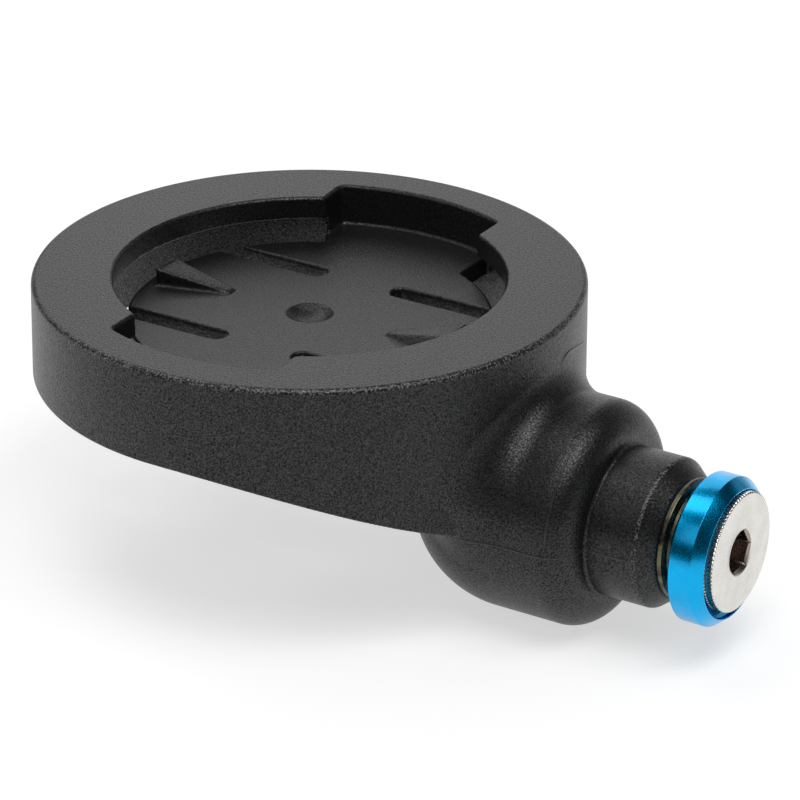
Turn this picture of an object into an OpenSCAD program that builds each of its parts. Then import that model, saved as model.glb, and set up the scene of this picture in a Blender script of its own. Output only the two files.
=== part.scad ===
// Quarter-turn mount for a cycling computer: a bezel with a bayonet socket, and a boss whose stub
// is drawn into a clamp by a countersunk bolt and a cup washer.
// Millimetres. The origin is the centre of the bezel's top face, +Z is up, and +X runs along the
// clamp bolt towards its head.

/* [Bezel] */
// Outside diameter of the bezel at the foot of its wall
bezel_d = 43.8; // [42:0.1:46]
// Height of the bezel wall on the side away from the boss
wall_h = 7.8; // [7.4:0.1:9]
// Draft of the bezel wall, degrees
wall_draft = 0.3; // [0:0.1:1]
// Rounding of the bezel's top outside edge
edge_r = 0.45; // [0.2:0.05:0.7]

/* [Socket] */
// Diameter of the mouth, between the two retaining lips
mouth_d = 30.9; // [29:0.1:32]
// Diameter of the entry notches and of the undercut below the lips
undercut_d = 36.6; // [35:0.1:38]
// Thickness of the lips
lip_t = 1.9; // [1.5:0.1:2.2]
// Depth of the socket floor below the top face
floor_depth = 3.4; // [3:0.05:3.6]
// Thickness of the socket floor and its tongues
floor_t = 1.6; // [1.4:0.1:1.8]
// Distance from the centreline to the straight side of an entry notch
notch_side = 7.1; // [6:0.1:8]
// Angle of the S-shaped notch side where it leaves the lip, degrees from +X
notch_in_angle = -61; // [-62:0.5:-59]
// Angle of the S-shaped notch side where it meets the undercut
notch_out_angle = -66.5; // [-68:0.5:-65]
// Angle at which the rotation stop under the lip ends
stop_angle = -62.5; // [-63:0.5:-61]
// Diameter of the shallow dimple in the middle of the floor
dimple_d = 3.8; // [3:0.1:4.5]
// Depth of the dimple
dimple_depth = 0.7; // [0.3:0.1:0.8]

/* [Tongues] */
// Distance from the centre to a tongue's living hinge
hinge_x = 4.05; // [3.8:0.05:4.4]
// Radius of the tongues' free ends
tongue_r = 14.45; // [14.2:0.05:14.7]
// Width of the four slots that free the tongues
slot_w = 1.75; // [1.5:0.05:1.9]
// Half the distance between the slots' inner ends
slot_in_y = 7.3; // [7:0.1:7.5]
// Angle by which the slots fan out, degrees
slot_fan = 0.5; // [0:0.5:3]
// Gap in the rounded living hinge
hinge_gap = 0.05; // [0.03:0.01:0.08]
// Where the arc-shaped openings at the tongues' ends stop, from the centreline
arc_end_x = 6; // [5.5:0.1:6.8]
// Distance from the centre to the tip of a click wedge
wedge_tip_x = 7.4; // [6.5:0.1:8]
// Length of a click wedge
wedge_len = 5.9; // [5:0.1:6.2]
// Width of a click wedge at its outer end
wedge_w = 4.2; // [3.5:0.1:4.6]
// Height of a click wedge at its outer end
wedge_h = 1.45; // [1.1:0.05:1.6]

/* [Boss] */
// Depth of the clamp bolt's axis below the top face
axis_drop = 13.95; // [13.5:0.05:15]
// Diameter of the barrel
barrel_d = 18; // [17:0.1:19]
// Centre of the barrel's round inner end, from the bezel's axis
barrel_in_x = 20.2; // [19.5:0.1:21]
// End face of the barrel
barrel_out_x = 28.5; // [28:0.1:29]
// Rounding of the barrel's outer edge
shoulder_r = 2.7; // [2:0.1:3]
// Diameter of the stub that enters the clamp
stub_d = 11.9; // [11.5:0.1:12.5]
// Length of the stub
stub_len = 5.6; // [5:0.1:6.4]
// Depth of the bevel of the stub's edge
stub_bevel = 1.1; // [0.6:0.1:1.1]
// Length of that bevel along the stub
stub_bevel_len = 1.4; // [0.6:0.1:1.8]
// Size of the fillet along the top and the underside of the barrel
blend_top = 2.1; // [1.6:0.1:2.4]
// Size of the fillet at the barrel's sides
blend_side = 3.3; // [2.8:0.1:4]
// Rounding of the skirt's lower edge where it runs into the barrel
skirt_blend = 3; // [2:0.1:3.5]

/* [Underside] */
// Depth of the pocket in which the tongues flex
pocket_depth = 1.75; // [1.6:0.05:2]
// Edge of the open underside, from the bezel's axis
open_x = 10.5; // [9:0.1:11]
// Thickness of the two stiffening ribs
rib_t = 1.2; // [1:0.1:1.5]
// Height of the ribs
rib_h = 2.4; // [1.5:0.1:2.6]
// Distance from a living hinge to the rib beside it
rib_gap = 2.2; // [2:0.1:2.4]

/* [Insert, bolt and washer] */
// Nominal diameter of the clamp bolt
bolt_d = 5; // [5:5]
// Length of the bolt, over its head
bolt_len = 20; // [18:1:22]
// Diameter of the bolt's countersunk head
head_d = 9.4; // [9:0.1:9.6]
// How far the head stands out of the washer
head_proud = 0.4; // [0:0.1:0.5]
// Height of the head's knurled rim
head_rim = 0.75; // [0.5:0.05:0.9]
// Width across the flats of the hex socket
hex_af = 3; // [3:3]
// Depth of the hex socket
hex_depth = 2; // [1.6:0.1:2.3]
// Body diameter of the threaded insert
insert_d = 7; // [6.6:0.1:7.4]
// Length of the insert inside the stub
insert_len = 10.4; // [9:0.1:11]
// Diameter of the insert's flange
flange_d = 9.5; // [9:0.1:9.8]
// Thickness of the insert's flange
flange_t = 0.75; // [0.6:0.05:0.9]
// Outside diameter of the cup washer
washer_d = 11.8; // [11.6:0.1:12.4]
// Thickness of the cup washer
washer_t = 2.8; // [2.75:0.05:3]
// Bevel of the washer's front edge
washer_bevel = 0.5; // [0.3:0.05:0.6]
// Gap round the bolt's head in the washer's recess
cup_gap = 0.45; // [0.3:0.05:0.5]
// Distance from the insert's flange to the washer, one turn of the thread plus a little
washer_gap = 0.82; // [0.81:0.01:1.2]
// Radial running clearance of the thread
run_fit = 0.04; // [0.02:0.01:0.08]
// Radial clearance of the blind hole behind the insert, round the bolt
tip_clear = 0.4; // [0.3:0.05:0.6]
// Depth of that hole beyond the bolt's point
tip_room = 2.5; // [1:0.1:3]

/* [Hidden] */
$fn = 96;
eps = 0.01;
over = 1;

bezel_r = bezel_d / 2;
mouth_r = mouth_d / 2;
undercut_r = undercut_d / 2;
barrel_r = barrel_d / 2;
floor_low = floor_depth + floor_t;
pocket_low = floor_low + pocket_depth;
hinge_z = -floor_depth - floor_t / 2;
knuckle_r = floor_t / 2 - 2 * eps;

skirt_end_x = sqrt(pow(bezel_r, 2) - pow(barrel_r, 2));
skirt_drop = axis_drop - wall_h;
skirt_r = (pow(skirt_end_x, 2) + pow(skirt_drop, 2)) / (2 * skirt_drop);
blank_low = axis_drop + over;

stub_out_x = barrel_out_x + stub_len;
flange_out_x = stub_out_x + flange_t;
washer_in_x = flange_out_x + washer_gap;
washer_out_x = washer_in_x + washer_t;
head_cone_h = (head_d - bolt_d) / 2;
head_out_x = washer_out_x + head_proud;
cone_out_x = head_out_x - head_rim;
cone_in_x = cone_out_x - head_cone_h;
cup_r = head_d / 2 + cup_gap;
rim_share = 0.7;
rim_bevel = min(washer_bevel, rim_share * (washer_d / 2 - cup_r));

function smooth(t) = t * t * (3 - 2 * t);
function polar(r, a) = r * [cos(a), sin(a)];

// Radius of the drafted bezel wall at height z
function wall_r(z) = bezel_r - (z + wall_h) * tan(wall_draft);

// Signed distance to the bezel blank with its curved skirt, and to the barrel with its round end
function blank_sd(p) = max(rounded_max(norm([p.x, p.y]) - wall_r(p.z),
                                       skirt_r - norm([p.x, p.z + wall_h + skirt_r]), skirt_blend),
                           p.z + floor_depth / 3);
function barrel_sd(p) =
    let (r = norm([p.y, p.z + axis_drop]))
    max(norm([min(p.x - barrel_in_x, 0), r]) - barrel_r,
        rounded_max(p.x - barrel_out_x, r - barrel_r, shoulder_r));

// Intersection of two bodies with its edge rounded by r
function rounded_max(a, b, r) = min(-r, max(a, b)) + norm([max(r + a, 0), max(r + b, 0)]);

// The two joined with a round fillet of size r
function filleted_sd(a, b, r) = max(r, min(a, b)) - norm([max(r - a, 0), max(r - b, 0)]);

// The fillet grows towards the sides of the barrel
function blend_at(p) =
    let (up = (p.z + axis_drop) / max(norm([p.y, p.z + axis_drop]), eps))
    blend_top + (blend_side - blend_top) * (1 - up * up);
function body_sd(p) = filleted_sd(blank_sd(p), barrel_sd(p), blend_at(p));

// Distance along direction d from point o at which the skin, sunk by fairing_sink, is met
fairing_sink = 0.04;
fairing_core = [barrel_in_x - 0.3 * barrel_r, 0, 0.13 * barrel_r - axis_drop];
fairing_reach = 1.5 * barrel_r;
fairing_steps = 18;
function to_skin(o, d, low, high, steps) =
    let (mid = (low + high) / 2)
    steps == 0 ? mid
    : body_sd(o + mid * d) < -fairing_sink ? to_skin(o, d, mid, high, steps - 1)
    : to_skin(o, d, low, mid, steps - 1);

module turned_twice() {
    for (a = [0, 180]) rotate(a) children();
}

module sector_2d(r_in, r_out, a0, a1) {
    far = 2 * r_out;
    intersection() {
        difference() {
            circle(r_out);
            circle(r_in);
        }
        polygon([[0, 0], polar(far, a0), polar(far, (a0 + a1) / 2), polar(far, a1)]);
    }
}

// Entry notch at -Y: its side at -X is straight, and the side at +X is an S-shaped ramp
module entry_notch_2d() {
    steps = 10;
    far = undercut_r + over;
    lap = 0.05;
    ramp = [for (i = [steps:-1:0])
        let (t = i / steps)
        polar(mouth_r - lap + (undercut_r - mouth_r + 2 * lap) * smooth(t),
              notch_in_angle + (notch_out_angle - notch_in_angle) * t)];
    polygon(concat([[0, 0], [-notch_side, 0], [-notch_side, -far], polar(far, notch_out_angle)], ramp));
}

module mouth_2d() {
    circle(mouth_r);
    intersection() {
        circle(undercut_r);
        turned_twice() entry_notch_2d();
    }
}

// Undercut below the lips, less the two solid stops at the S-shaped notch sides
module undercut_2d() {
    past_ramp = 4;
    difference() {
        circle(undercut_r);
        difference() {
            turned_twice()
                sector_2d(mouth_r - over, undercut_r + over, notch_out_angle - past_ramp, stop_angle);
            mouth_2d();
        }
    }
}

// Openings through the floor: an arc under each lip, from just past the stop
module lip_gap_2d() {
    past_stop = 0.5;
    turned_twice() intersection() {
        sector_2d(tongue_r, undercut_r, stop_angle + past_stop, 90);
        translate([arc_end_x, -bezel_d]) square(2 * bezel_d);
    }
}

// One of the slots at +X, from its round inner end outwards into the arc
module slot_2d() {
    translate([hinge_x, slot_in_y]) rotate(slot_fan) {
        circle(d = slot_w);
        translate([0, -slot_w / 2]) square([tongue_r - hinge_x, slot_w]);
    }
}

module slots_2d() {
    slot_2d();
    mirror([0, 1]) slot_2d();
}

// The strip of floor between two slots, from the hinge outwards
module tongue_strip_2d(end_x) {
    end_y = slot_in_y + (end_x - hinge_x) * tan(slot_fan);
    polygon([[hinge_x, -slot_in_y], [end_x, -end_y], [end_x, end_y], [hinge_x, slot_in_y]]);
}

// Bezel wall and the deeper skirt that sweeps down to the barrel, as a solid
module bezel_blank() {
    edge = [for (a = [0:15:90]) [wall_r(-edge_r) - edge_r, -edge_r] + polar(edge_r, a)];
    foot = [[0, -blank_low], [wall_r(-blank_low), -blank_low]];
    difference() {
        rotate_extrude() polygon(concat(foot, edge, [[0, 0]]));
        rotate([90, 0, 0]) linear_extrude(2 * bezel_d, center = true) {
            translate([-bezel_d, -bezel_d]) square([bezel_d, bezel_d - wall_h]);
            intersection() {
                translate([0, -wall_h - skirt_r]) circle(skirt_r);
                translate([0, -bezel_d]) square(bezel_d);
            }
        }
    }
}

// Filleted skin around the root of the barrel, found along rays from a point inside it
module fairing() {
    tilts = concat([for (a = [38:2.25:76]) a], [for (a = [80:4:164]) a]);
    turns = 60;
    cap_reach = 1.24 * barrel_r;
    rows = len(tilts);
    ray = function (tilt, turn) [cos(tilt), sin(tilt) * sin(turn), sin(tilt) * cos(turn)];
    skin = [for (tilt = tilts, j = [0:turns - 1])
        let (d = ray(tilt, 360 * j / turns))
        fairing_core + d * to_skin(fairing_core, d, over, fairing_reach, fairing_steps)];
    ends = [for (d = [[1, 0, 0], [-1, 0, 0]])
        fairing_core + d * to_skin(fairing_core, d, over, cap_reach, fairing_steps)];
    at = function (i, j) i * turns + j % turns;
    sides = [for (i = [0:rows - 2], j = [0:turns - 1])
        each [[at(i, j), at(i + 1, j), at(i + 1, j + 1)], [at(i, j), at(i + 1, j + 1), at(i, j + 1)]]];
    caps = [for (j = [0:turns - 1])
        each [[rows * turns, at(0, j), at(0, j + 1)],
              [rows * turns + 1, at(rows - 1, j + 1), at(rows - 1, j)]]];
    polyhedron(concat(skin, ends), concat(sides, caps));
}

// Barrel with its round inner end and rolled shoulder, and the bevelled stub
module barrel_and_stub() {
    stub_r = stub_d / 2;
    shoulder_x = barrel_out_x - shoulder_r;
    translate([0, 0, -axis_drop]) rotate([0, 90, 0]) rotate_extrude() {
        intersection() {
            translate([0, barrel_in_x]) circle(barrel_r);
            square([barrel_r, barrel_in_x]);
        }
        translate([0, barrel_in_x]) square([barrel_r, shoulder_x - barrel_in_x]);
        translate([0, shoulder_x]) square([barrel_r - shoulder_r, shoulder_r]);
        intersection() {
            translate([barrel_r - shoulder_r, shoulder_x]) circle(shoulder_r);
            translate([barrel_r - shoulder_r, shoulder_x]) square(shoulder_r);
        }
        polygon([[0, barrel_out_x - over], [stub_r, barrel_out_x - over],
                 [stub_r, stub_out_x - stub_bevel_len], [stub_r - stub_bevel, stub_out_x],
                 [0, stub_out_x]]);
    }
}

module along_x(x) {
    translate([x, 0, -axis_drop]) rotate([0, 90, 0]) children();
}

// Everything that is open inside the bezel
module socket_space() {
    translate([0, 0, -lip_t]) linear_extrude(lip_t + over) mouth_2d();
    translate([0, 0, -floor_depth]) linear_extrude(floor_depth - lip_t) undercut_2d();
    translate([0, 0, -floor_low - eps]) linear_extrude(floor_t + 2 * eps) {
        lip_gap_2d();
        turned_twice() {
            slots_2d();
            tongue_strip_2d(tongue_r + slot_w / 2);
        }
    }
    turned_twice() translate([hinge_x, 0, hinge_z]) rotate([90, 0, 0])
        cylinder(r = knuckle_r + hinge_gap, h = 2 * slot_in_y, center = true);
    dimple_r = (pow(dimple_d / 2, 2) + pow(dimple_depth, 2)) / (2 * dimple_depth);
    translate([0, 0, dimple_r - dimple_depth - floor_depth]) sphere(dimple_r);
}

// Pocket below the floor, open downwards up to open_x, with two ribs left standing
module underside_space() {
    difference() {
        union() {
            translate([0, 0, -pocket_low]) cylinder(r = undercut_r, h = pocket_depth);
            intersection() {
                translate([0, 0, -blank_low - over])
                    cylinder(r = undercut_r, h = blank_low + over - pocket_low + eps);
                translate([-bezel_d, -bezel_d, -2 * bezel_d])
                    cube([bezel_d + open_x, 2 * bezel_d, 2 * bezel_d]);
            }
        }
        turned_twice() translate([hinge_x - rib_gap - rib_t, -bezel_d, -floor_low - rib_h])
            cube([rib_t, 2 * bezel_d, rib_h + over]);
    }
}

module mount_body() {
    color("#2b2c2e") difference() {
        union() {
            bezel_blank();
            fairing();
            barrel_and_stub();
        }
        socket_space();
        underside_space();
        along_x(stub_out_x - insert_len - tip_clear)
            cylinder(d = insert_d + 2 * eps, h = insert_len + over);
        along_x(head_out_x - bolt_len - tip_room) cylinder(d = bolt_d + 2 * tip_clear, h = bolt_len);
    }
}

// Flexing tongue at +X with its click wedge and the round root of its living hinge
module tongue() {
    end_gap = 0.05;
    translate([0, 0, -floor_low]) linear_extrude(floor_t) difference() {
        intersection() {
            tongue_strip_2d(tongue_r + over);
            circle(tongue_r);
        }
        slots_2d();
    }
    translate([hinge_x, 0, hinge_z]) rotate([90, 0, 0])
        cylinder(r = knuckle_r, h = 2 * (slot_in_y - end_gap) - slot_w, center = true);
    translate([wedge_tip_x, 0, -floor_depth]) click_wedge();
}

// Wedge rising outwards from a small step at its tip: steep at +Y, where it locks the foot's tab,
// and sloping down to a low hip at -Y, where the tab rides up
module click_wedge() {
    sunk = -0.3;
    tip_w = 0.9;
    tip_h = 0.2;
    hip_h = 0.25;
    ridge_y = -0.15 * wedge_w;
    polyhedron(
        [[0, -tip_w / 2, sunk], [0, tip_w / 2, sunk],
         [wedge_len, wedge_w / 2, sunk], [wedge_len, -wedge_w / 2, sunk],
         [0, -tip_w / 2, tip_h], [0, tip_w / 2, tip_h],
         [wedge_len, wedge_w / 2, wedge_h], [wedge_len, -wedge_w / 2, hip_h],
         [wedge_len, ridge_y, wedge_h]],
        [[0, 3, 2, 1], [0, 1, 5, 4], [1, 2, 6, 5], [3, 0, 4, 7],
         [2, 3, 7, 8, 6], [5, 6, 8], [4, 5, 8], [7, 4, 8]]);
}

module tongue_bolt_side() {
    color("#2b2c2e") tongue();
}

module tongue_far_side() {
    color("#2b2c2e") rotate(180) tongue();
}

// Threaded insert: a body with two retaining grooves and a flange that bears on the stub's end
module threaded_insert() {
    groove_w = 1;
    groove_depth = 0.35;
    groove_at = [0.3, 0.65];
    color("#8c8250") along_x(stub_out_x - insert_len) difference() {
        union() {
            cylinder(d = insert_d, h = insert_len + eps);
            translate([0, 0, insert_len]) cylinder(d = flange_d, h = flange_t);
        }
        for (z = groove_at * insert_len) translate([0, 0, z]) difference() {
            cylinder(d = insert_d + over, h = groove_w);
            cylinder(d = insert_d - 2 * groove_depth, h = groove_w);
        }
        translate([0, 0, -over])
            cylinder(d = bolt_d + 2 * run_fit, h = insert_len + flange_t + 2 * over);
    }
}

// Countersunk bolt with a hex socket
module clamp_bolt() {
    shank_r = bolt_d / 2;
    head_r = head_d / 2;
    point = 0.5;
    edge = 0.15;
    start_x = head_out_x - bolt_len;
    color("#cfc9c0") along_x(0) difference() {
        rotate_extrude()
            polygon([[0, start_x], [shank_r - point, start_x], [shank_r, start_x + point],
                     [shank_r, cone_in_x], [head_r, cone_out_x], [head_r, head_out_x - edge],
                     [head_r - edge, head_out_x], [0, head_out_x]]);
        translate([0, 0, head_out_x - hex_depth])
            cylinder(d = hex_af / cos(30), h = hex_depth + over, $fn = 6);
    }
}

// Cup washer with a countersunk seat and a recess round the bolt's head
module cup_washer() {
    outer_r = washer_d / 2;
    edge = 0.15;
    seat_gap = 0.05;
    bore_gap = 0.15;
    bore_r = bolt_d / 2 + bore_gap;
    seat_in_x = cone_in_x + bore_gap - seat_gap;
    recess_x = cone_out_x - 2 * seat_gap;
    color("#1486d2") along_x(0) rotate_extrude()
        polygon([[bore_r, washer_in_x], [outer_r - edge, washer_in_x], [outer_r, washer_in_x + edge],
                 [outer_r, washer_out_x - rim_bevel], [outer_r - rim_bevel, washer_out_x],
                 [cup_r, washer_out_x], [cup_r, recess_x],
                 [bore_r + recess_x - seat_in_x, recess_x], [bore_r, seat_in_x]]);
}

mount_body();
tongue_bolt_side();
tongue_far_side();
threaded_insert();
clamp_bolt();
cup_washer();
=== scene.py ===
"""Dressed model of a quarter-turn mount for a cycling computer, built round its packed solids."""
import math

import bmesh
import bpy
import numpy as np
from bpy.props import FloatProperty, FloatVectorProperty, IntProperty, PointerProperty
from mathutils import Matrix, Vector
from mathutils.bvhtree import BVHTree
from mathutils.kdtree import KDTree


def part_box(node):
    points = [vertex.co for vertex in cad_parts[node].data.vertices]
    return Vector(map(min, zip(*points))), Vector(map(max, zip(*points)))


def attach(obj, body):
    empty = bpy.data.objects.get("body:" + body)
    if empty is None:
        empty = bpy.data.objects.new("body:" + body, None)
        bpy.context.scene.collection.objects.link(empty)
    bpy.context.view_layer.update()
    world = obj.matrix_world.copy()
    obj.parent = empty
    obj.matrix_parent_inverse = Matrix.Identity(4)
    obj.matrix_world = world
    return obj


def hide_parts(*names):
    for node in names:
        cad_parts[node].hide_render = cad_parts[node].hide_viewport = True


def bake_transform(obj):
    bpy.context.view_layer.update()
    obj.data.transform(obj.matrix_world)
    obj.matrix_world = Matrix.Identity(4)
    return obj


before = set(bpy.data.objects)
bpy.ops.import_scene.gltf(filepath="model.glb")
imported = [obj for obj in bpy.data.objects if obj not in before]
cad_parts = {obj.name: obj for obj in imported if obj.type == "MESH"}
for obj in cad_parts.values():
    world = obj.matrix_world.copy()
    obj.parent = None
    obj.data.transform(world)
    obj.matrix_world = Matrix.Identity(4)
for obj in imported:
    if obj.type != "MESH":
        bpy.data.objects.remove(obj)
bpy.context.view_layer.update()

bl_info = {
    "name": "Quarter-turn computer mount",
    "version": (1, 0, 0),
    "blender": (4, 5, 0),
    "location": "View3D > Sidebar > Mount",
    "description": "Builds the moulded body, its flexing tongues and the clamp hardware",
    "category": "Add Mesh",
}

MM = 0.001
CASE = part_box("mount_body")
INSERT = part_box("threaded_insert")
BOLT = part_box("clamp_bolt")
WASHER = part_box("cup_washer")
AXIS_Z = (BOLT[0].z + BOLT[1].z) / 2
HEAD_R = (BOLT[1].z - BOLT[0].z) / 2 + 0.06 * MM
WASHER_R = (WASHER[1].z - WASHER[0].z) / 2
FLANGE_R = (INSERT[1].z - INSERT[0].z) / 2


AIM = Vector((8 * MM, 0, -6 * MM))
# Softboxes round that point: degrees counter-clockwise from the camera, degrees over
# the horizon, watts.
SOFTBOXES = ((0, 38, 0.03), (0, 65, 0.70), (60, 12, 0.06), (60, 65, 0.55), (120, 12, 0.05),
             (150, 12, 0.07), (180, 12, 0.16), (180, 38, 0.15), (210, 38, 0.20), (240, 65, 0.28),
             (270, 12, 0.10), (270, 38, 0.14), (315, 38, 0.12))


class Moulding:
    """Sizes of the moulded solids' surfaces."""
    bezel_r, wall_h, draft = 21.9 * MM, 7.8 * MM, math.radians(0.3)
    edge, foot_edge = 0.45 * MM, 0.15 * MM
    mouth_r, undercut_r, tongue_r = 15.45 * MM, 18.3 * MM, 14.45 * MM
    lip, floor, floor_low, pocket_low = 1.9 * MM, 3.4 * MM, 5 * MM, 6.75 * MM
    hinge_x, slot_y, strip_y = 4.05 * MM, 7.3 * MM, 6.425 * MM
    barrel_r, barrel_in, barrel_out, shoulder = 9 * MM, 20.2 * MM, 28.5 * MM, 2.7 * MM
    stub_r, stub_out, stub_edge = 5.95 * MM, 34.1 * MM, 0.1 * MM
    bevel, bevel_len = 1.1 * MM, 1.4 * MM
    blend_top, blend_side, skirt_blend = 2.1 * MM, 3.3 * MM, 3 * MM
    skirt_end, skirt_drop = math.sqrt(21.9 ** 2 - 9 ** 2) * MM, 6.15 * MM


# ---------------------------------------------------------------- settings

class PlasticSettings(bpy.types.PropertyGroup):
    """Moulded body and tongues"""

    colour: FloatVectorProperty(
        name="Colour", description="Base colour of the filled nylon",
        default=(0.006, 0.006, 0.0062), size=3, subtype="COLOR")
    # Colour of the paler edge specks: part rubbed wear, part painted highlight.
    rubbed_glint_colour: FloatVectorProperty(
        name="Rubbed edges", description="Colour of the specks on rubbed edges",
        default=(0.14, 0.14, 0.14), size=3, subtype="COLOR")
    gloss_roughness: FloatProperty(
        name="Roughness", description="Roughness of the spark-eroded skin",
        default=0.35, min=0, max=1, subtype="FACTOR")
    grain: FloatProperty(
        name="Grain", description="Size of the spark-eroded grain",
        default=0.16 * MM, unit="LENGTH", precision=5)
    grain_depth: FloatProperty(
        name="Grain depth", description="Height of the grain",
        default=0.036 * MM, unit="LENGTH", precision=6)
    skin: FloatProperty(
        name="Skin spacing", description="Spacing of the body's surface mesh before it is thinned",
        default=0.125 * MM, unit="LENGTH", precision=6)
    rounds: IntProperty(
        name="Rounding", description="Smoothing passes that roll the moulded edges",
        default=4, min=0)
    mouth_rounds: IntProperty(
        name="Mouth rounding", default=14, min=0,
        description="Further passes that roll the edge of the socket's mouth")
    reach: FloatProperty(
        name="Truing reach", description="Farthest that a point is moved onto its true surface",
        default=0.12 * MM, unit="LENGTH", precision=5)
    faces: IntProperty(
        name="Faces", description="Most triangles left on the moulding", default=205000, min=1000)


class MouldLineSettings(bpy.types.PropertyGroup):
    """Witness lines that the mould's halves and slide leave"""

    width: FloatProperty(
        name="Width", description="Width of a witness line", default=0.18 * MM,
        unit="LENGTH", precision=5)
    height: FloatProperty(
        name="Height", description="How far a witness line stands proud", default=0.08 * MM,
        unit="LENGTH", precision=6)


class ClampSettings(bpy.types.PropertyGroup):
    """Threaded insert, bolt and cup washer"""

    pitch: FloatProperty(
        name="Pitch", description="Travel of the bolt for each turn", default=0.8 * MM,
        unit="LENGTH", precision=5)
    thread_depth: FloatProperty(
        name="Thread depth", description="Depth of the bolt's thread", default=0.42 * MM,
        unit="LENGTH", precision=5)
    knurls: IntProperty(
        name="Knurls", description="Grooves round the head's rim", default=90, min=3)
    hex_turn: FloatProperty(
        name="Hex turn", description="Turn of the hex socket in the head",
        default=math.radians(33.7), unit="ROTATION")
    hex_flats: FloatProperty(
        name="Hex", description="Width across the flats of the hex socket", default=3 * MM,
        unit="LENGTH", precision=5)
    hex_depth: FloatProperty(
        name="Hex depth", description="Depth of the hex socket", default=1.95 * MM,
        unit="LENGTH", precision=5)
    washer_colour: FloatVectorProperty(
        name="Washer", description="Colour of the anodised washer",
        default=(0.0, 0.40, 0.80), size=3, subtype="COLOR")
    steel_colour: FloatVectorProperty(
        name="Steel", description="Colour of the nickel-plated bolt",
        default=(0.71, 0.69, 0.65), size=3, subtype="COLOR")
    # Painted shade: the brown-dark colour laid into the hex socket's recess.
    socket_shade_colour: FloatVectorProperty(
        name="Hex socket", description="Colour of the browned hex socket",
        default=(0.27, 0.21, 0.17), size=3, subtype="COLOR")
    # Painted shade: the insert's brass darkened for the gap between the stub's end and the washer.
    insert_shade_colour: FloatVectorProperty(
        name="Insert", description="Colour of the tarnished insert",
        default=(0.13, 0.12, 0.08), size=3, subtype="COLOR")


class StageSettings(bpy.types.PropertyGroup):
    """Camera, lamps and floor"""

    lens: FloatProperty(name="Lens", description="Focal length", default=200.97, subtype="NONE")
    distance: FloatProperty(
        name="Distance", description="Distance of the camera", default=350.685 * MM, unit="LENGTH")
    azimuth: FloatProperty(
        name="Azimuth", description="Direction of the camera round the mount",
        default=math.radians(31.517), unit="ROTATION")
    elevation: FloatProperty(
        name="Elevation", description="Height of the camera over the horizon",
        default=math.radians(25.167), unit="ROTATION")
    roll: FloatProperty(
        name="Roll", description="Roll of the camera", default=math.radians(0.425), unit="ROTATION")
    power: FloatProperty(
        name="Power", description="Scales the power of every softbox", default=1.3, min=0)
    reach: FloatProperty(
        name="Reach", description="Distance of the softboxes", default=0.5, unit="LENGTH")
    box: FloatProperty(
        name="Softbox", description="Side of a softbox", default=0.24, unit="LENGTH")
    room: FloatProperty(
        name="Room", description="Brightness of the room", default=0.02, min=0)
    floor_glow: FloatProperty(
        name="Floor glow", description="Light that the floor shows the camera and reflections",
        default=0.6, min=0)


# ---------------------------------------------------------------- meshes

def new_piece(name, vertices, faces):
    """Object made of points in metres, shaded smooth up to sharp edges."""
    mesh = bpy.data.meshes.new(name)
    mesh.from_pydata([tuple(v) for v in vertices], [], faces)
    mesh.validate()
    return linked(name, mesh)


def linked(name, mesh, sharp=math.radians(38)):
    mesh.polygons.foreach_set("use_smooth", [True] * len(mesh.polygons))
    mesh.set_sharp_from_angle(angle=sharp)
    piece = bpy.data.objects.new(name, mesh)
    bpy.context.scene.collection.objects.link(piece)
    return piece


def facing_out(piece):
    """Turns a closed piece's faces outwards."""
    work = bmesh.new()
    work.from_mesh(piece.data)
    bmesh.ops.recalc_face_normals(work, faces=work.faces)
    work.to_mesh(piece.data)
    work.free()
    return piece


def on_axis(x, radius, turn):
    """Point round the clamp bolt's axis, turn 0 at the top and growing towards -Y."""
    return (x, -radius * math.sin(turn), AXIS_Z + radius * math.cos(turn))


def turned(name, profile, around, radius_at=None, closed=False):
    """Piece turned round the clamp bolt's axis from (x, radius) points.
    radius_at(row, turn, radius) may change a row's radius; closed joins the last row to
    the first."""
    points, rows = [], []
    for k, (x, radius) in enumerate(profile):
        if radius <= 0:
            rows.append([len(points)] * around)
            points.append(on_axis(x, 0, 0))
            continue
        rows.append(range(len(points), len(points) + around))
        for j in range(around):
            turn = 2 * math.pi * j / around
            points.append(on_axis(x, radius_at(k, turn, radius) if radius_at else radius, turn))
    faces = []
    for k in range(len(rows) if closed else len(rows) - 1):
        low, high = rows[k], rows[(k + 1) % len(rows)]
        for j in range(around):
            n = (j + 1) % around
            ring = [low[j], low[n], high[n], high[j]]
            faces.append([v for i, v in enumerate(ring) if v != ring[i - 1]])
    return facing_out(new_piece(name, points, faces))


def rolled(profile, radius, closed=False, steps=4):
    """The profile with each inner corner rolled to that radius, or to less on a short side."""
    out = []
    count = len(profile)
    for k, here in enumerate(profile):
        p = Vector(here)
        if not closed and k in (0, count - 1):
            out.append(tuple(p))
            continue
        back, on = Vector(profile[k - 1]) - p, Vector(profile[(k + 1) % count]) - p
        bend = math.pi - back.angle(on)
        cut = min(radius * math.tan(bend / 2), 0.45 * back.length, 0.45 * on.length)
        if bend < math.radians(4) or cut <= 0:
            out.append(tuple(p))
            continue
        start, end = p + back.normalized() * cut, p + on.normalized() * cut
        for i in range(steps + 1):
            t = i / steps
            out.append(tuple(start.lerp(p, t).lerp(p.lerp(end, t), t)))
    return out


def modified(mesh, kind, **values):
    """The mesh after one modifier."""
    carrier = bpy.data.objects.new("carrier", mesh)
    bpy.context.scene.collection.objects.link(carrier)
    step = carrier.modifiers.new(kind, kind)
    for key, value in values.items():
        setattr(step, key, value)
    shape = carrier.evaluated_get(bpy.context.evaluated_depsgraph_get())
    made = bpy.data.meshes.new_from_object(shape)
    bpy.data.objects.remove(carrier)
    return made


def array_of(items, key, width, kind=float):
    values = np.empty(len(items) * width, kind)
    items.foreach_get(key, values)
    return values.reshape(-1, width)


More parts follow.
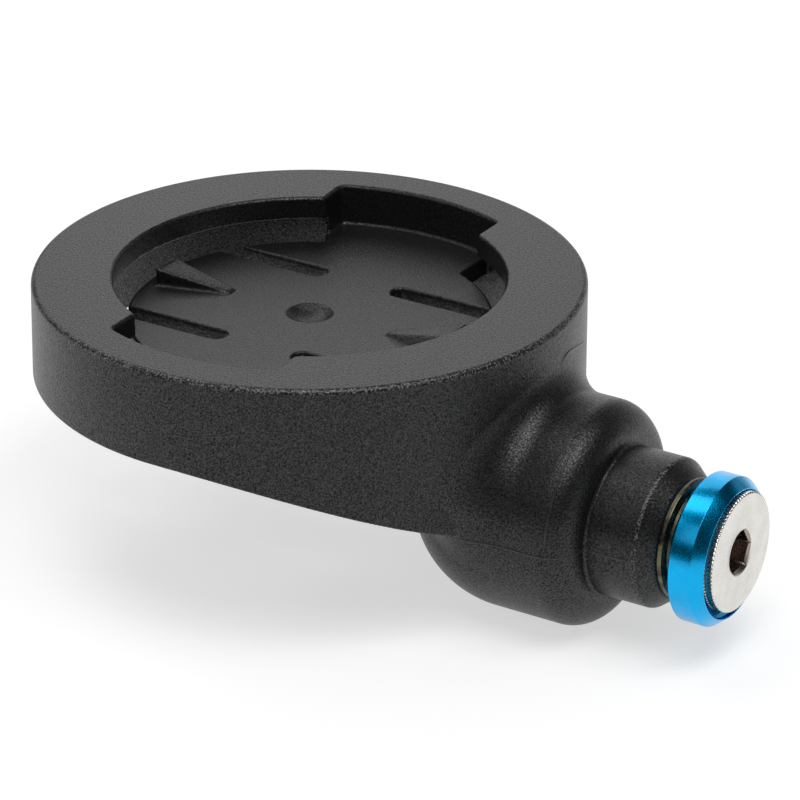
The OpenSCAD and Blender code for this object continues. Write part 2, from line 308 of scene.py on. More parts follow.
def rounded_max(a, b, radius):
    """Intersection of two distance fields with its edge rounded."""
    return np.minimum(-radius, np.maximum(a, b)) + np.hypot(
        np.maximum(radius + a, 0), np.maximum(radius + b, 0))


def filleted_min(a, b, radius):
    """Union of two distance fields with a fillet between them."""
    return np.maximum(radius, np.minimum(a, b)) - np.hypot(
        np.maximum(radius - a, 0), np.maximum(radius - b, 0))


def outer_skin(p):
    """Distance in metres to the outside of the bezel, its skirt, the boss and their fillet."""
    m = Moulding
    x, y, z = p.T
    wall = np.hypot(x, y) - (m.bezel_r - (z + m.wall_h) * math.tan(m.draft))
    sweep_r = (m.skirt_end ** 2 + m.skirt_drop ** 2) / (2 * m.skirt_drop)
    sweep = np.where(x > 0, sweep_r - np.hypot(x, z + m.wall_h + sweep_r), -z - m.wall_h)
    blank = rounded_max(rounded_max(wall, z, m.edge), sweep, m.foot_edge)
    soft = np.maximum(rounded_max(wall, sweep, m.skirt_blend), z + m.floor / 3)
    r = np.hypot(y, z - AXIS_Z)
    barrel = np.maximum(np.hypot(np.minimum(x - m.barrel_in, 0), r) - m.barrel_r,
                        rounded_max(x - m.barrel_out, r - m.barrel_r, m.shoulder))
    slope = math.hypot(m.bevel, m.bevel_len)
    bevel = ((x - m.stub_out + m.bevel_len) * m.bevel + (r - m.stub_r) * m.bevel_len) / slope
    stub = rounded_max(rounded_max(r - m.stub_r, bevel, m.stub_edge), x - m.stub_out, m.stub_edge)
    up = (z - AXIS_Z) / np.maximum(r, m.stub_edge)
    fillet = filleted_min(soft, barrel, m.blend_top + (m.blend_side - m.blend_top) * (1 - up ** 2))
    return np.minimum(np.minimum(blank, stub), np.minimum(barrel, fillet))


def round_about_z(radius):
    return lambda p: np.hypot(p[:, 0], p[:, 1]) - radius


def level_at(z):
    return lambda p: p[:, 2] - z


def surfaces():
    m = Moulding
    return [outer_skin] + [round_about_z(r) for r in (m.mouth_r, m.undercut_r, m.tongue_r)] + [
        level_at(z) for z in (0, -m.lip, -m.floor, -m.floor_low, -m.pocket_low)]


def slope_of(distance, co, step):
    parts = []
    for k in range(3):
        shift = np.zeros(3)
        shift[k] = step
        parts.append((distance(co + shift) - distance(co - shift)) / (2 * step))
    slope = np.stack(parts, 1)
    return slope / np.maximum(np.linalg.norm(slope, axis=1), 1e-6)[:, None]


def trued(mesh, reach, passes):
    """Moves points that lie close along one of the moulding's true surfaces onto it."""
    for _ in range(passes):
        co = array_of(mesh.vertices, "co", 3)
        normals = array_of(mesh.vertex_normals, "vector", 3)
        best, move = np.zeros(len(co)), np.zeros_like(co)
        for distance in surfaces():
            off = distance(co)
            near = np.flatnonzero(abs(off) < reach)
            slope = slope_of(distance, co[near], 0.02 * MM)
            along = np.clip((abs((slope * normals[near]).sum(1)) - 0.9) / 0.07, 0, 1)
            close = np.clip(2 * (1 - abs(off[near]) / reach), 0, 1)
            share = along * close
            better = share > best[near]
            at = near[better]
            best[at] = share[better]
            move[at] = -(slope * (off[near] * share)[:, None])[better]
        mesh.vertices.foreach_set("co", (co + move).ravel())
        mesh.update()
    return mesh


def relaxed(mesh, rounds):
    """Smooths the mesh; rounds gives the number of passes for each point."""
    co = array_of(mesh.vertices, "co", 3)
    a, b = array_of(mesh.edges, "vertices", 2, np.int32).T
    count = len(co)
    degree = np.bincount(a, minlength=count) + np.bincount(b, minlength=count)
    for k in range(int(rounds.max())):
        total = np.stack([np.bincount(a, co[b, i], count) + np.bincount(b, co[a, i], count)
                          for i in range(3)], 1)
        co += (total / degree[:, None] - co) * (0.5 * (rounds > k))[:, None]
    mesh.vertices.foreach_set("co", co.ravel())
    mesh.update()
    return mesh


def moulding_skin():
    """Body and tongues in one skin with rolled edges, as they come out of the mould."""
    s = bpy.context.scene.mount_plastic
    m = Moulding
    work = bmesh.new()
    for node in ("mount_body", "tongue_bolt_side", "tongue_far_side"):
        work.from_mesh(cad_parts[node].data)
    bmesh.ops.remove_doubles(work, verts=work.verts, dist=0.002 * MM)
    for side in (-1, 1):
        bridge = bmesh.ops.create_cube(work, size=1)["verts"]
        for v in bridge:
            v.co = (side * m.hinge_x + v.co.x * 2 * MM, v.co.y * 2 * m.strip_y,
                    -(m.floor + m.floor_low) / 2 + v.co.z * (m.floor_low - m.floor))
    mesh = bpy.data.meshes.new("moulding")
    work.to_mesh(mesh)
    work.free()
    spacing = s.skin * 1
    mesh = modified(mesh, "REMESH", mode="VOXEL", voxel_size=spacing)
    co = array_of(mesh.vertices, "co", 3)
    mouth = (co[:, 2] > -0.6 * m.lip) & (np.hypot(co[:, 0], co[:, 1]) < m.bezel_r - 2 * MM)
    mesh = relaxed(mesh, s.rounds + s.mouth_rounds * mouth)
    mesh = trued(mesh, s.reach, 2)
    fine = KDTree(len(mesh.vertices))
    for k, point in enumerate(array_of(mesh.vertices, "co", 3)):
        fine.insert(point, k)
    fine.balance()
    slopes = array_of(mesh.vertex_normals, "vector", 3)
    triangles = sum(len(p.vertices) - 2 for p in mesh.polygons)
    mesh = modified(mesh, "DECIMATE", ratio=min(1, s.faces / triangles))
    mesh.materials.clear()
    return trued(mesh, s.reach / 2, 1), fine, slopes


def shaded_true(mesh, fine, slopes):
    """Gives the thinned mesh the fine one's normals, and exact ones where it lies on a
    true surface."""
    co = array_of(mesh.vertices, "co", 3)
    corners = array_of(mesh.loops, "vertex_index", 1, np.int32).ravel()
    starts = array_of(mesh.polygons, "loop_start", 1, np.int32).ravel()
    sides = np.diff(np.append(starts, len(corners)))
    facing = np.repeat(array_of(mesh.polygon_normals, "vector", 3), sides, axis=0)
    normals = np.array([slopes[fine.find(p)[1]] for p in co])[corners]
    for distance in surfaces():
        slope = slope_of(distance, co, 0.02 * MM)[corners]
        agree = (slope * facing).sum(1)
        fits = (abs(distance(co)[corners]) < 0.003 * MM) & (abs(agree) > math.cos(math.radians(7)))
        whole = np.repeat(np.minimum.reduceat(fits, starts), sides)
        normals[whole] = (slope * np.sign(agree)[:, None])[whole]
    mesh.normals_split_custom_set(normals)


def cut_free(work, side):
    """Cuts the tongue on one side free at its root and closes both ends; gives its faces."""
    m = Moulding
    root = side * (m.hinge_x - 0.5 * MM)

    def crosses(edge):
        """Whether the root's plane cuts the edge between the slots."""
        a, b = (v.co for v in edge.verts)
        if (a.x - root) * (b.x - root) >= 0:
            return False
        p = a.lerp(b, (root - a.x) / (b.x - a.x))
        return abs(p.y) < m.slot_y and -m.pocket_low < p.z < -m.lip

    strip = {f for e in work.edges if crosses(e) for f in e.link_faces}
    parts = {x for f in strip for x in (f, *f.edges, *f.verts)}
    cut = bmesh.ops.bisect_plane(work, geom=list(parts), plane_co=(root, 0, 0),
                                 plane_no=(side, 0, 0))["geom_cut"]
    seam = [e for e in cut if isinstance(e, bmesh.types.BMEdge)]
    bmesh.ops.split_edges(work, edges=seam)
    rim = [e for e in work.edges if e.is_boundary]
    caps = bmesh.ops.holes_fill(work, edges=rim, sides=0)["faces"]
    bmesh.ops.triangulate(work, faces=caps)
    start = max(work.faces, key=lambda f: side * f.calc_center_median().x
                if abs(f.calc_center_median().y) < m.strip_y
                and side * f.calc_center_median().x < m.tongue_r
                and abs(f.calc_center_median().z + m.floor) < 0.1 * MM else -1)
    found, left = {start}, [start]
    while left:
        for e in left.pop().edges:
            for f in e.link_faces:
                if f not in found:
                    found.add(f)
                    left.append(f)
    return found


def section(mesh, level):
    """Longest closed line in which a level plane cuts the mesh, as points."""
    work = bmesh.new()
    work.from_mesh(mesh)
    cut = bmesh.ops.bisect_plane(
        work, geom=work.verts[:] + work.edges[:] + work.faces[:],
        plane_co=(0, 0, level), plane_no=(0, 0, 1))["geom_cut"]
    left = {e for e in cut if isinstance(e, bmesh.types.BMEdge)}
    lines = []
    while left:
        edge = left.pop()
        line = [edge.verts[0], edge.verts[1]]
        while True:
            on = next((e for e in line[-1].link_edges if e in left), None)
            if on is None:
                break
            left.remove(on)
            line.append(on.other_vert(line[-1]))
        lines.append([v.co.copy() for v in line])
    work.free()
    return max(lines, key=lambda line: max(p.x for p in line))


def evenly(points, gap):
    """The line with a point about every gap."""
    points = [Vector(p) for p in points]
    run = np.concatenate([[0], np.cumsum([(b - a).length for a, b in zip(points, points[1:])])])
    count = max(int(run[-1] / gap), 2)
    at = np.linspace(0, run[-1], count + 1)
    co = np.array([tuple(p) for p in points])
    return [Vector(p) for p in np.stack([np.interp(at, run, co[:, k]) for k in range(3)], 1)]


def eased(points, passes):
    """The line with its small kinks smoothed out."""
    for _ in range(passes):
        points = [points[0]] + [
            (a + 2 * b + c) / 4 for a, b, c in zip(points, points[1:], points[2:])] + [points[-1]]
    return points


def bead(name, lines, skin, width, height):
    """Low rounded bead laid on the skin along each line, thinning out at its ends."""
    arch = [math.radians(a) for a in (180, 140, 105, 75, 40, 0, -90)]
    points, faces = [], []
    for line in lines:
        base = len(points)
        for k, p in enumerate(line):
            on, normal, *_ = skin.find_nearest(p)
            along = (line[min(k + 1, len(line) - 1)] - line[max(k - 1, 0)]).normalized()
            across = normal.cross(along).normalized()
            fade = min(1, (k + 0.3) / 9, (len(line) - 0.7 - k) / 9)
            for a in arch:
                points.append(on + across * math.cos(a) * width / 2 * (0.4 + 0.6 * fade)
                              + normal * (math.sin(a) * height * fade - 0.1 * height))
        n = len(arch)
        for k in range(len(line) - 1):
            for j in range(n):
                a, b = base + k * n + j, base + k * n + (j + 1) % n
                faces.append([a, b, b + n, a + n])
        faces.append([base + j for j in range(n)][::-1])
        faces.append([base + (len(line) - 1) * n + j for j in range(n)])
    return facing_out(new_piece(name, points, faces))


# ---------------------------------------------------------------- materials

class Finish:
    """A node material, with short ways to add and join its nodes."""

    def __init__(self, name):
        self.material = bpy.data.materials.new(name)
        self.material.use_nodes = True
        self.tree = self.material.node_tree
        self.shader = self.tree.nodes["Principled BSDF"]
        self.place = self.node("ShaderNodeTexCoord").outputs["Object"]

    def node(self, kind, **values):
        made = self.tree.nodes.new(kind)
        for key, value in values.items():
            setattr(made, key, value)
        return made

    def set(self, socket, value):
        if isinstance(value, bpy.types.NodeSocket):
            self.tree.links.new(value, socket)
        else:
            socket.default_value = value

    def noise(self, size, detail=3.0, rough=0.55, place=None):
        made = self.node("ShaderNodeTexNoise")
        self.set(made.inputs["Vector"], place or self.place)
        self.set(made.inputs["Scale"], 1 / size)
        self.set(made.inputs["Detail"], detail)
        self.set(made.inputs["Roughness"], rough)
        return made.outputs["Fac"]

    def cells(self, size):
        made = self.node("ShaderNodeTexVoronoi")
        self.set(made.inputs["Vector"], self.place)
        self.set(made.inputs["Scale"], 1 / size)
        return made.outputs["Distance"]

    def remap(self, value, low, high, to_low=0.0, to_high=1.0):
        made = self.node("ShaderNodeMapRange")
        for key, v in zip(("Value", "From Min", "From Max", "To Min", "To Max"),
                          (value, low, high, to_low, to_high)):
            self.set(made.inputs[key], v)
        return made.outputs["Result"]

    def parts(self):
        """The three coordinates of the shaded point."""
        split = self.node("ShaderNodeSeparateXYZ")
        self.set(split.inputs[0], self.place)
        return split.outputs

    def length(self, a, b):
        return self.math("SQRT", self.math("ADD", self.math("MULTIPLY", a, a),
                                           self.math("MULTIPLY", b, b)))

    def math(self, operation, a, b=0.0, c=0.0):
        made = self.node("ShaderNodeMath", operation=operation)
        for socket, value in zip(made.inputs, (a, b, c)):
            self.set(socket, value)
        return made.outputs[0]

    def mix(self, share, a, b):
        made = self.node("ShaderNodeMix", data_type="RGBA")
        for key, v in ((0, share), (6, a), (7, b)):
            self.set(made.inputs[key], v)
        return made.outputs[2]

    def bump(self, height, distance, strength=1.0):
        made = self.node("ShaderNodeBump")
        for key, v in (("Strength", strength), ("Distance", distance), ("Height", height)):
            self.set(made.inputs[key], v)
        return made.outputs["Normal"]

    def finish(self, **sockets):
        for key, value in sockets.items():
            self.set(self.shader.inputs[key.replace("_", " ").title().replace("Ior", "IOR")], value)
        return self.material


def shade(colour, factor):
    return tuple(min(c * factor, 1) for c in colour) + (1,)


def plastic_finish():
    """Black filled nylon out of a spark-eroded mould: fine grain, and paler specks on the rim's top
    edge and the stub's bevel edge that are part rubbed wear, part painted highlight.
    """
    s, m = bpy.context.scene.mount_plastic, Moulding
    f = Finish("spark_eroded_nylon")
    grain = f.noise(s.grain, 2.0, 0.6)
    pits = f.cells(s.grain * 1.6)
    flow = f.noise(9 * MM, 3.0)
    x, y, z = f.parts()
    # Paler specks on the bezel's top outer edge and the stub's bevel edge: part rubbed wear, part
    # painted highlight standing in for the edge glint.
    rim = f.math("MULTIPLY", f.remap(f.length(x, y), m.bezel_r - 0.5 * MM, m.bezel_r - 0.25 * MM),
                 f.remap(z, -0.5 * MM, -0.3 * MM))
    out = f.length(y, f.math("SUBTRACT", z, AXIS_Z))
    stub = f.math("MULTIPLY", f.remap(out, m.stub_r - 0.2 * MM, m.stub_r - 0.1 * MM),
                  f.math("COMPARE", x, m.stub_out - m.bevel_len, 0.14 * MM))
    wear_and_glint = f.math("MAXIMUM", rim, stub)
    speck = f.remap(f.noise(s.grain, 1.0), 0.5, 0.62)
    colour = f.mix(f.remap(flow, 0.35, 0.65), shade(s.colour, 0.9), shade(s.colour, 1.12))
    colour = f.mix(f.math("MULTIPLY", f.remap(grain, 0.4, 0.65), 0.5), colour, shade(s.colour, 2.5))
    colour = f.mix(f.math("MULTIPLY", wear_and_glint, speck), colour, s.rubbed_glint_colour[:] + (1,))
    rough = f.remap(grain, 0.3, 0.7, s.gloss_roughness - 0.06, s.gloss_roughness + 0.08)
    height = f.math("ADD", grain, f.math("MULTIPLY", pits, 0.35))
    shine = f.remap(f.noise(s.grain * 0.85, 1.5), 0.32, 0.68, 0.1, 0.72)
    return f.finish(base_color=colour, roughness=rough, specular_ior_level=shine,
                    normal=f.bump(height, s.grain_depth, 1.0))


def witness_finish():
    """The same nylon, paler, along the witness lines."""
    s = bpy.context.scene.mount_plastic
    f = Finish("witness_line_nylon")
    grain = f.noise(s.grain * 1.2, 2.0)
    colour = f.mix(f.remap(grain, 0.35, 0.6), shade(s.colour, 1.5), shade(s.colour, 4.5))
    return f.finish(base_color=colour, roughness=f.remap(grain, 0.3, 0.7, 0.3, 0.45),
                    normal=f.bump(grain, s.grain_depth, 0.5))


def anodised_finish():
    """Blasted and anodised aluminium."""
    s = bpy.context.scene.mount_clamp
    f = Finish("blue_anodised_aluminium")
    blast = f.noise(0.11 * MM, 2.0, 0.6)
    colour = f.mix(f.remap(f.noise(2.4 * MM), 0.35, 0.65), shade(s.washer_colour, 0.94),
                   shade(s.washer_colour, 1.06))
    rough = f.remap(blast, 0.3, 0.7, 0.2, 0.3)
    return f.finish(base_color=colour, metallic=1.0, roughness=rough, coat_weight=0.2,
                    coat_roughness=0.12, coat_ior=1.6,
                    normal=f.bump(blast, 0.006 * MM, 0.8))


def steel_finish():
    """Nickel-plated steel with a lapped face and fine scratches, and painted shade in the hex
    socket.
    """
    s = bpy.context.scene.mount_clamp
    f = Finish("nickel_plated_steel")
    fine = f.noise(0.09 * MM, 2.0, 0.6)
    cloud = f.noise(1.6 * MM, 3.0)
    stretch = f.node("ShaderNodeMapping")
    f.set(stretch.inputs["Vector"], f.place)
    stretch.inputs["Scale"].default_value = (1, 14, 1)
    hair = f.noise(0.6 * MM, 2.0, 0.6, stretch.outputs["Vector"])
    colour = f.mix(f.remap(cloud, 0.35, 0.65), shade(s.steel_colour, 0.93),
                   shade(s.steel_colour, 1.06))
    colour = f.mix(f.math("MULTIPLY", f.remap(hair, 0.6, 0.72), 0.25), colour,
                   shade(s.steel_colour, 0.6))
    x, y, z = f.parts()
    out = f.length(y, f.math("SUBTRACT", z, AXIS_Z))
    # Painted shade: points inside the hex socket's recess are mixed towards the socket shade
    # colour.
    deep_shade = f.math("MULTIPLY", f.math("LESS_THAN", out, 1.95 * MM),
                  f.math("LESS_THAN", x, BOLT[1].x - 0.16 * MM))
    colour = f.mix(f.math("MULTIPLY", deep_shade, 0.85), colour, s.socket_shade_colour[:] + (1,))
    rough = f.remap(fine, 0.3, 0.7, 0.2, 0.32)
    height = f.math("ADD", fine, f.math("MULTIPLY", hair, 0.6))
    return f.finish(base_color=colour, metallic=1.0, roughness=rough,
                    normal=f.bump(height, 0.005 * MM, 0.7))


def shaded_insert_finish():
    """Turned brass insert, darkened as painted shade for the gap between the stub's end and the
    washer.
    """
    s = bpy.context.scene.mount_clamp
    f = Finish("brass_in_painted_shade")
    patch = f.noise(0.9 * MM, 3.0)
    fine = f.noise(0.12 * MM, 2.0)
    # Painted shade: the dark base colour stands for the shade in the gap. The noise patches vary
    # its tone.
    colour = f.mix(f.remap(patch, 0.38, 0.62), shade(s.insert_shade_colour, 0.45),
                   shade(s.insert_shade_colour, 1.25))
    rough = f.remap(patch, 0.35, 0.65, 0.22, 0.42)
    return f.finish(base_color=colour, metallic=1.0, roughness=rough,
                    normal=f.bump(fine, 0.006 * MM, 0.7))


def finished(piece, body, material):
    """Paints a piece and lets it ride on its body."""
    piece.data.materials.clear()
    piece.data.materials.append(material)
    if body:
        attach(piece, body)
    return piece


def shared_finish(name, make):
    return bpy.data.materials.get(name) or make()


# ---------------------------------------------------------------- operators

class MOUNT_OT_moulding(bpy.types.Operator):
    """Bezel, socket, boss and the two tongues, cut free as pieces of their own at their living
    hinges
    """

    bl_idname = "mount.moulding"
    bl_label = "Moulding"

    def execute(self, context):
        plastic = shared_finish("spark_eroded_nylon", plastic_finish)
        whole, fine, slopes = moulding_skin()
        for side, node, body in ((1, "tongue_bolt_side", "tongue_near"),
                                 (-1, "tongue_far_side", "tongue_far")):
            work = bmesh.new()
            work.from_mesh(whole)
            found = cut_free(work, side)
            for f in found:
                f.material_index = 1
            only = work.copy()
            bmesh.ops.delete(work, geom=list(found), context="FACES")
            bmesh.ops.delete(only, geom=[f for f in only.faces if f.material_index == 0],
                             context="FACES")
            for f in only.faces:
                f.material_index = 0
            tongue = bpy.data.meshes.new("moulded_" + node)
            only.to_mesh(tongue)
            work.to_mesh(whole)
            only.free()
            work.free()
            piece = linked("moulded_" + node, tongue, math.pi)
            shaded_true(tongue, fine, slopes)
            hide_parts(node)
            finished(piece, None, plastic)
            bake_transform(piece)
        shell = linked("moulded_body", whole, math.pi)
        shaded_true(whole, fine, slopes)
        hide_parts("mount_body")
        finished(shell, "mount", plastic)
        return {"FINISHED"}


class MOUNT_OT_mould_lines(bpy.types.Operator):
    """Witness lines along the boss, round its shoulder and over the bezel wall"""

    bl_idname = "mount.mould_lines"
    bl_label = "Witness lines"

    def execute(self, context):
        s = context.scene.mount_mould_lines
        shell = bpy.data.objects["moulded_body"]
        skin = BVHTree.FromObject(shell, context.evaluated_depsgraph_get())
        gap = 0.12 * MM
        loop = section(shell.data, AXIS_Z)
        boss = []
        for side in (-1, 1):
            run = [p for p in loop if p.y * side > 5 * MM and p.x > 19.2 * MM]
            run.sort(key=lambda p: (round(p.x / MM, 2), -p.y * side))
            boss.append(eased(evenly(run, gap), 6))
        ring_x = 26.7 * MM
        for span in ((30, 84), (-96, -60)):
            ring = [Vector(on_axis(ring_x, 9 * MM, math.radians(a)))
                    for a in np.linspace(*span, 60)]
            boss.append(evenly([skin.find_nearest(p)[0] for p in ring], gap))
        wall = [(3.8, -3.5), (5.2, -3.14), (6.6, -2.77), (8.7, -2.68), (13.2, -3.07),
                (19.5, -3.69), (26, -4.9)]
        turns = np.linspace(wall[0][0], wall[-1][0], 80)
        levels = np.interp(turns, *zip(*wall))
        arch = [Vector((22 * MM * math.cos(math.radians(t)), 22 * MM * math.sin(math.radians(t)),
                        z * MM)) for t, z in zip(turns, levels)]
        boss.append(eased(evenly([skin.find_nearest(p)[0] for p in arch], gap), 8))
        lines = bead("witness_lines", boss, skin, s.width, s.height)
        finished(lines, "mount",
                 shared_finish("witness_line_nylon", witness_finish))
        return {"FINISHED"}


class MOUNT_OT_insert(bpy.types.Operator):
    """Threaded insert with its stepped flange"""

    bl_idname = "mount.insert"
    bl_label = "Threaded insert"

    def execute(self, context):
        s = context.scene.mount_clamp
        low, high = INSERT[0].x, INSERT[1].x - 0.06 * MM
        body_r, bore_r, face = 3.5 * MM, 2.56 * MM, 0.75 * MM
        step, collar_r, lead = 0.28 * MM, 3.95 * MM, 0.3 * MM
        around = 128
        outer = rolled([
            (low, bore_r), (low, body_r), (high - face, body_r), (high - face, FLANGE_R),
            (high - step, FLANGE_R), (high - step, collar_r + 0.15 * MM),
            (high - step + 0.05 * MM, collar_r), (high, collar_r), (high, bore_r + lead),
            (high - lead, bore_r)], 0.12 * MM)
        rows = int((high - low) / s.pitch * 14)
        bore = [(high - lead - (high - low - lead) * k / rows, bore_r)
                for k in range(1, rows)]
        first = len(outer)

        def threaded(row, turn, radius):
            if row < first:
                return radius
            x = bore[row - first][0]
            wave = abs(((x / s.pitch + turn / (2 * math.pi)) % 1) * 2 - 1)
            return radius + 0.3 * MM * max(0, min(1, 1.5 * wave - 0.25))

        insert = turned("threaded_insert_detail", outer + bore, around, threaded, closed=True)
        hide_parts("threaded_insert")
        finished(insert, "mount",
                 shared_finish("brass_in_painted_shade", shaded_insert_finish))
        return {"FINISHED"}


class MOUNT_OT_bolt(bpy.types.Operator):
    """Countersunk bolt with a knurled rim, a hex socket and a rolled thread"""

    bl_idname = "mount.bolt"
    bl_label = "Clamp bolt"

    def execute(self, context):
        s = context.scene.mount_clamp
        low, high = BOLT[0].x, BOLT[1].x - 0.05 * MM
        shank_r, rim, chamfer = 2.5 * MM, 0.75 * MM, 0.12 * MM
        cone_out = high - rim
        cone_in = cone_out - (HEAD_R - shank_r)
        around = 5 * s.knurls
        rows = []

        def row(kind, x, radius):
            rows.append((kind, x, radius))

        thread_end = cone_in - 0.6 * MM
        count = int((thread_end - low) / s.pitch * 9)
        row("round", low, 0)
        row("round", low, shank_r - s.thread_depth - 0.25 * MM)
        for k in range(count + 1):
            x = low + 0.15 * MM + (thread_end - low - 0.15 * MM) * k / count
            row("thread", x, shank_r)
        row("round", thread_end + 0.15 * MM, shank_r)
        row("round", cone_in, shank_r)
        for k in range(1, 9):
            t = k / 8
            row("round", cone_in + (cone_out - cone_in) * t,
                shank_r + (HEAD_R - shank_r) * t - 0.02 * MM)
        row("knurl", cone_out + 0.06 * MM, HEAD_R)
        row("knurl", high - chamfer - 0.08 * MM, HEAD_R)
        for k in range(5):
            a = math.pi / 2 * k / 4
            row("rim", high - chamfer + chamfer * math.sin(a),
                HEAD_R - chamfer + chamfer * math.cos(a))
        row("round", high, HEAD_R - 0.5 * MM)
        row("round", high, HEAD_R - 1.2 * MM)
        corner = s.hex_flats / 2 / math.cos(math.radians(30))
        row("round", high, corner + 0.22 * MM)
        row("round", high - 0.05 * MM, corner + 0.12 * MM)
        row("hex", high - 0.28 * MM, corner)
        row("hex", high - s.hex_depth, corner)
        row("round", high - s.hex_depth - 0.02 * MM, 0.8 * corner)
        row("round", high - s.hex_depth - 0.25 * MM, 0)

        def radius_at(k, turn, radius):
            kind, x, _ = rows[k]
            if kind == "hex":
                off = (turn - s.hex_turn + math.radians(30)) % math.radians(60) - math.radians(30)
                return s.hex_flats / 2 / math.cos(math.radians(30) - abs(off))
            if kind == "thread":
                wave = abs(((x / s.pitch + turn / (2 * math.pi)) % 1) * 2 - 1)
                ends = min(1, (x - low) / (0.9 * MM), (thread_end - x) / (0.5 * MM))
                return radius - s.thread_depth * max(0, min(1, 1.35 * wave - 0.2)) * max(ends, 0)
            if kind in ("knurl", "rim"):
                depth = (0.17 if kind == "knurl" else 0.08) * MM
                return radius - depth * (0.5 - 0.5 * math.cos(turn * s.knurls)) ** 0.6
            return radius

        profile = [(x, radius) for _, x, radius in rows]
        bolt = turned("clamp_bolt_detail", profile, around, radius_at)
        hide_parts("clamp_bolt")
        finished(bolt, "bolt", shared_finish("nickel_plated_steel", steel_finish))
        return {"FINISHED"}


class MOUNT_OT_washer(bpy.types.Operator):
    """Anodised cup washer that hangs loose under the bolt's head"""

    bl_idname = "mount.washer"
    bl_label = "Cup washer"

    def execute(self, context):
        low, high = WASHER[0].x, WASHER[1].x - 0.06 * MM
        bore, cup, ring = 2.85 * MM, 5.09 * MM, 5.18 * MM
        seat = BOLT[1].x - 0.85 * MM
        profile = rolled([
            (low, bore), (low, WASHER_R - 0.12 * MM), (low + 0.12 * MM, WASHER_R),
            (high - 0.87 * MM, WASHER_R), (high, ring), (high, cup), (seat, cup),
            (seat - 2.2 * MM, bore)], 0.05 * MM, closed=True)
        washer = turned("cup_washer_detail", profile, 256, closed=True)
        washer.data.transform(Matrix.Translation((0, -0.14 * MM, -0.22 * MM)))
        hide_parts("cup_washer")
        finished(washer, "washer",
                 shared_finish("blue_anodised_aluminium", anodised_finish))
        return {"FINISHED"}


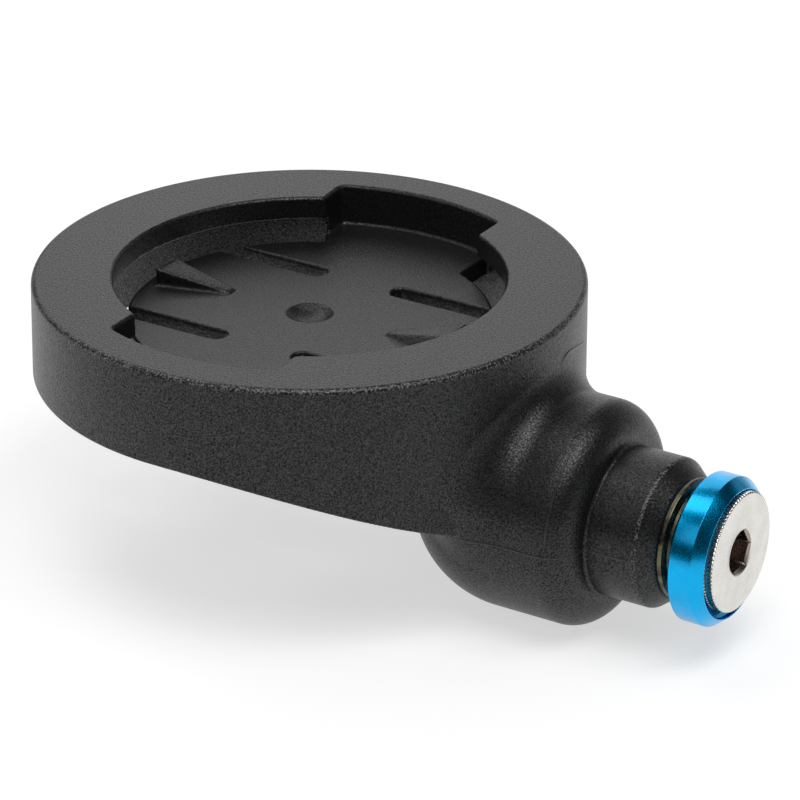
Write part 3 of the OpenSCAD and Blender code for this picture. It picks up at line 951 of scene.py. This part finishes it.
class MOUNT_OT_stage(bpy.types.Operator):
    """Pale floor, softboxes and camera"""

    bl_idname = "mount.stage"
    bl_label = "Stage"

    def execute(self, context):
        s = context.scene.mount_stage
        scene = context.scene
        scene.view_settings.view_transform = "Standard"
        a, e = s.azimuth, s.elevation
        back = Vector((math.sin(a) * math.cos(e), -math.cos(a) * math.cos(e), math.sin(e)))
        right = Vector((math.cos(a), math.sin(a), 0))
        up = back.cross(right)
        side = right * math.cos(s.roll) + up * math.sin(s.roll)
        top = up * math.cos(s.roll) - right * math.sin(s.roll)
        lens = bpy.data.cameras.new("camera")
        lens.lens, lens.sensor_width = s.lens, 36
        lens.clip_start, lens.clip_end = 0.01, 20
        camera = bpy.data.objects.new("camera", lens)
        camera.matrix_world = Matrix((side, top, back)).transposed().to_4x4()
        camera.location = right * 7.162 * MM + up * -9.902 * MM + back * s.distance
        scene.collection.objects.link(camera)
        scene.camera = camera

        floor = self.floor(CASE[0].z)
        facing = math.atan2(-math.cos(a), math.sin(a))
        for k, (turn, rise, power) in enumerate(SOFTBOXES):
            turn, rise = facing + math.radians(turn), math.radians(rise)
            self.softbox("softbox_%02d" % k, power * s.power, Vector((
                math.cos(rise) * math.cos(turn), math.cos(rise) * math.sin(turn), math.sin(rise))))

        world = bpy.data.worlds.new("room")
        world.use_nodes = True
        scene.world = world
        ground = world.node_tree.nodes["Background"]
        ground.inputs["Color"].default_value = (1, 1, 1, 1)
        ground.inputs["Strength"].default_value = s.room
        return {"FINISHED"}

    def floor(self, level):
        half = 3.0
        corners = [(-half, -half, level), (half, -half, level), (half, half, level),
                   (-half, half, level)]
        floor = new_piece("floor", corners, [[0, 1, 2, 3]])
        f = Finish("pale_floor")
        tree = f.tree
        f.set(f.shader.inputs["Base Color"], (0.5, 0.5, 0.5, 1))
        f.set(f.shader.inputs["Roughness"], 0.9)
        f.set(f.shader.inputs["Specular IOR Level"], 0.0)
        path = f.node("ShaderNodeLightPath")
        seen = f.math("MAXIMUM", path.outputs["Is Camera Ray"],
                      f.math("MAXIMUM", path.outputs["Is Glossy Ray"],
                             path.outputs["Is Transmission Ray"]))
        glow = f.node("ShaderNodeEmission")
        strength = bpy.context.scene.mount_stage.floor_glow
        f.set(glow.inputs["Strength"], f.math("MULTIPLY", seen, strength))
        add = f.node("ShaderNodeAddShader")
        tree.links.new(f.shader.outputs[0], add.inputs[0])
        tree.links.new(glow.outputs[0], add.inputs[1])
        tree.links.new(add.outputs[0], tree.nodes["Material Output"].inputs["Surface"])
        floor.data.materials.append(f.material)
        return floor

    def softbox(self, name, power, way):
        s = bpy.context.scene.mount_stage
        light = bpy.data.lights.new(name, "AREA")
        light.energy, light.shape, light.size = power, "SQUARE", s.box
        lamp = bpy.data.objects.new(name, light)
        lamp.location = AIM + way * s.reach
        lamp.rotation_euler = way.to_track_quat("Z", "Y").to_euler()
        bpy.context.scene.collection.objects.link(lamp)
        return lamp


class MOUNT_PT_sidebar(bpy.types.Panel):
    """Steps that build the mount, in order"""

    bl_label = "Computer mount"
    bl_idname = "MOUNT_PT_sidebar"
    bl_space_type = "VIEW_3D"
    bl_region_type = "UI"
    bl_category = "Mount"

    def draw(self, context):
        for step in STEPS:
            self.layout.operator(step.bl_idname)
        for key, kind in SETTINGS.items():
            box = self.layout.box()
            box.label(text=kind.__doc__)
            for value in kind.__annotations__:
                box.prop(getattr(context.scene, key), value)


STEPS = (MOUNT_OT_moulding, MOUNT_OT_mould_lines, MOUNT_OT_insert, MOUNT_OT_bolt,
         MOUNT_OT_washer, MOUNT_OT_stage)
SETTINGS = {"mount_plastic": PlasticSettings, "mount_mould_lines": MouldLineSettings,
            "mount_clamp": ClampSettings, "mount_stage": StageSettings}


def register():
    for kind in (*SETTINGS.values(), *STEPS, MOUNT_PT_sidebar):
        bpy.utils.register_class(kind)
    for key, kind in SETTINGS.items():
        setattr(bpy.types.Scene, key, PointerProperty(type=kind))


def unregister():
    for key in SETTINGS:
        delattr(bpy.types.Scene, key)
    for kind in reversed((*SETTINGS.values(), *STEPS, MOUNT_PT_sidebar)):
        bpy.utils.unregister_class(kind)


def main():
    register()
    bpy.ops.mount.moulding()
    bpy.ops.mount.mould_lines()
    bpy.ops.mount.insert()
    bpy.ops.mount.bolt()
    bpy.ops.mount.washer()
    bpy.ops.mount.stage()


if __name__ == "__main__":
    main()
